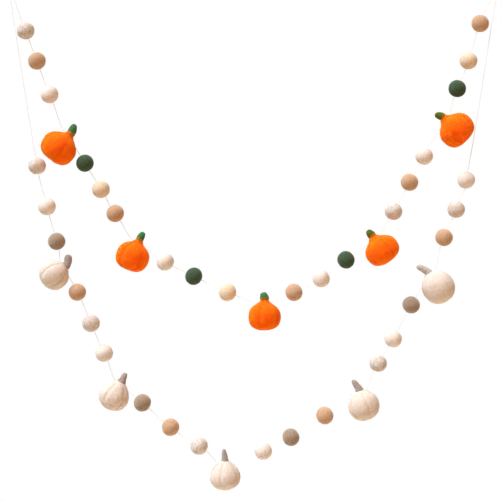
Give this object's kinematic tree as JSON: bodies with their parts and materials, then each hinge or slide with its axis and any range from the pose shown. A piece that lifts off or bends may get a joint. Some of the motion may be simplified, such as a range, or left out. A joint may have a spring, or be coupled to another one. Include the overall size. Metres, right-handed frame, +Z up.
{
  "type": "felt ball garland",
  "caption": "Hanging garland of round felt balls and small felt pumpkins strung on thin cotton thread in nested swags, with a knotted loop at each thread's end.",
  "frame": {"origin": "where the left hook bears in the hanging loops of both strands", "axes": "+X to the right along the garland, +Y to the back, +Z up"},
  "size_m": [0.7042, 0.0514, 0.7245],
  "materials": {
    "oatmeal": "matt wool felt, oatmeal heather",
    "cream": "matt wool felt, cream",
    "tan": "matt wool felt, tan",
    "sand": "matt wool felt, light sand",
    "green": "matt wool felt, dark sage green",
    "taupe": "matt wool felt, taupe",
    "orange": "matt wool felt, pumpkin orange",
    "white": "matt wool felt, warm white",
    "stem_green": "matt wool felt, leaf green",
    "stem_grey": "matt wool felt, warm grey",
    "thread": "twisted off-white cotton thread"
  },
  "bodies": {
    "root": {"upper_thread": "thread", "upper_ball_01_oatmeal": "oatmeal", "upper_ball_02_tan": "tan", "upper_ball_03_cream": "cream", "upper_pumpkin_1": "orange", "upper_stem_1": "stem_green", "upper_ball_04_green": "green", "upper_ball_05_sand": "sand", "upper_ball_06_tan": "tan", "upper_pumpkin_2": "orange", "upper_stem_2": "stem_green", "upper_ball_07_cream": "cream", "upper_ball_08_green": "green", "upper_ball_09_sand": "sand", "upper_pumpkin_3": "orange", "upper_stem_3": "stem_green", "upper_ball_10_tan": "tan", "upper_ball_11_cream": "cream", "upper_ball_12_green": "green", "upper_pumpkin_4": "orange", "upper_stem_4": "stem_green", "upper_ball_13_oatmeal": "oatmeal", "upper_ball_14_tan": "tan", "upper_ball_15_cream": "cream", "upper_pumpkin_5": "orange", "upper_stem_5": "stem_green", "upper_ball_16_green": "green", "upper_ball_17_sand": "sand", "upper_ball_18_tan": "tan", "lower_thread": "thread", "lower_ball_01_oatmeal": "oatmeal", "lower_ball_02_cream": "cream", "lower_ball_03_taupe": "taupe", "lower_pumpkin_1": "white", "lower_stem_1": "stem_grey", "lower_ball_04_tan": "tan", "lower_ball_05_oatmeal": "oatmeal", "lower_ball_06_cream": "cream", "lower_pumpkin_2": "white", "lower_stem_2": "stem_grey", "lower_ball_07_taupe": "taupe", "lower_ball_08_tan": "tan", "lower_ball_09_oatmeal": "oatmeal", "lower_pumpkin_3": "white", "lower_stem_3": "stem_grey", "lower_ball_10_cream": "cream", "lower_ball_11_taupe": "taupe", "lower_ball_12_tan": "tan", "lower_pumpkin_4": "white", "lower_stem_4": "stem_grey", "lower_ball_13_oatmeal": "oatmeal", "lower_ball_14_cream": "cream", "lower_ball_15_taupe": "taupe", "lower_pumpkin_5": "white", "lower_stem_5": "stem_grey", "lower_ball_16_tan": "tan", "lower_ball_17_oatmeal": "oatmeal", "lower_ball_18_cream": "cream"}
  },
  "joints": []
}
